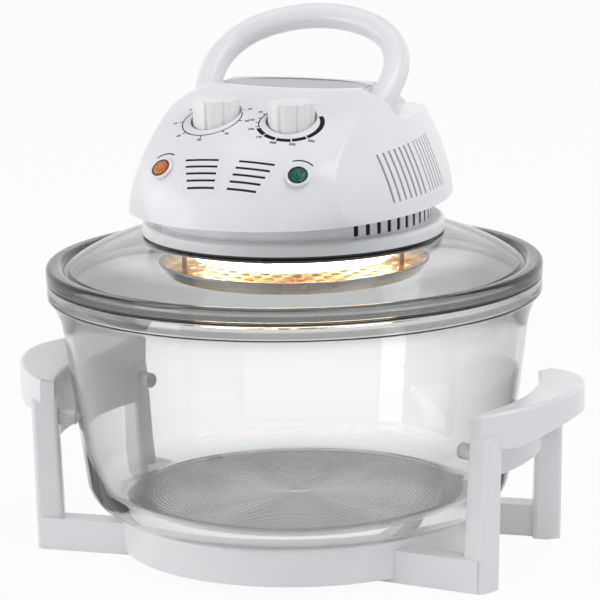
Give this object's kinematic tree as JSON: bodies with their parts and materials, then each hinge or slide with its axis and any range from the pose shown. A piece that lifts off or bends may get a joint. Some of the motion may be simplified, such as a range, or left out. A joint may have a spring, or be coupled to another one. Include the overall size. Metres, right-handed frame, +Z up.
{
  "type": "halogen oven",
  "caption": "Tabletop halogen oven: glass bowl on a stand with side grips, and a glass lid that carries a heating head with controls and a folding handle.",
  "frame": {"origin": "on the table, under the middle of the bowl", "axes": "+Z up, -Y the front with the controls, +X to the right seen from the front"},
  "size_m": [0.39, 0.325, 0.3535],
  "materials": {
    "white_plastic": "smooth gloss",
    "knob_plastic": "satin",
    "clear_silicone": "soft matt",
    "foot_rubber": "matt",
    "gasket_silicone": "matt",
    "clear_glass": "clear, polished",
    "zinc_steel": "zinc plated",
    "plain_steel": "brushed",
    "bright_steel": "bright",
    "guard_steel": "polished steel",
    "unit_plastic": "matt",
    "amber_lens": "tinted clear plastic",
    "green_lens": "tinted clear plastic",
    "mica": "pressed board",
    "quartz": "clear quartz",
    "ceramic": "white ceramic",
    "plain_aluminium": "pressed sheet",
    "bronze": "sintered",
    "motor_iron": "stamped laminations",
    "copper_wire": "enamelled wire"
  },
  "bodies": {
    "stand": {"base_ring": "white_plastic", "left_handle_frame": "white_plastic", "right_handle_frame": "white_plastic", "bumper_pads": "clear_silicone", "glass_pads": "clear_silicone", "rubber_feet": "foot_rubber", "stand_screws": "zinc_steel"},
    "bowl": {"glass_bowl": "clear_glass"},
    "lid": {"control_bracket": "plain_steel", "cord_gland": "white_plastic", "glass_lid": "clear_glass", "guard_screws": "zinc_steel", "guard_strips": "plain_steel", "guard_tray": "guard_steel", "halogen_tube": "quartz", "head_base": "white_plastic", "heat_bezel": "white_plastic", "heat_lens": "green_lens", "housing_screws": "zinc_steel", "insulation_disc": "mica", "lamp_clips": "plain_steel", "lamp_end_caps": "ceramic", "lid_gasket": "gasket_silicone", "lower_bearing": "bronze", "lower_gasket": "gasket_silicone", "motor_bracket": "plain_steel", "motor_screws": "zinc_steel", "motor_stator": "motor_iron", "power_bezel": "white_plastic", "power_lens": "amber_lens", "reflector_plate": "bright_steel", "reflector_screws": "zinc_steel", "safety_switch": "unit_plastic", "stator_coil": "copper_wire", "terminal_block": "unit_plastic", "thermostat_unit": "plain_steel", "timer_unit": "unit_plastic", "upper_bearing": "bronze", "upper_bracket": "plain_steel", "upper_housing": "white_plastic"},
    "handle": {"carry_handle": "white_plastic", "handle_pins": "zinc_steel", "switch_cam": "unit_plastic"},
    "timer_dial": {"timer_knob": "knob_plastic", "timer_shaft": "zinc_steel"},
    "temperature_dial": {"temperature_knob": "knob_plastic", "thermostat_shaft": "zinc_steel"},
    "rotor": {"motor_shaft": "zinc_steel", "cooling_fan": "plain_aluminium", "convection_fan": "plain_aluminium", "fan_nut": "zinc_steel", "motor_rotor": "motor_iron"}
  },
  "joints": [
    {"name": "bowl_lift", "type": "slide", "parent": "stand", "child": "bowl", "axis": [0, 0, 1], "range_m": [0, 0.15]},
    {"name": "lid_lift", "type": "slide", "parent": "bowl", "child": "lid", "axis": [0, 0, 1], "range_m": [0, 0.1]},
    {"name": "handle_fold", "type": "hinge", "parent": "lid", "child": "handle", "pos_m": [0, 0, 0.296], "axis": [1, 0, 0], "range_deg": [-26, 50]},
    {"name": "timer_turn", "type": "hinge", "parent": "lid", "child": "timer_dial", "pos_m": [-0.0259, -0.0606, 0.295], "axis": [0, 0, 1], "range_deg": [-300, 0]},
    {"name": "temperature_turn", "type": "hinge", "parent": "lid", "child": "temperature_dial", "pos_m": [0.0259, -0.0606, 0.295], "axis": [0, 0, 1], "range_deg": [-270, 0]},
    {"name": "rotor_spin", "type": "hinge", "parent": "lid", "child": "rotor", "pos_m": [0, 0, 0.23], "axis": [0, 0, 1], "continuous": true}
  ]
}
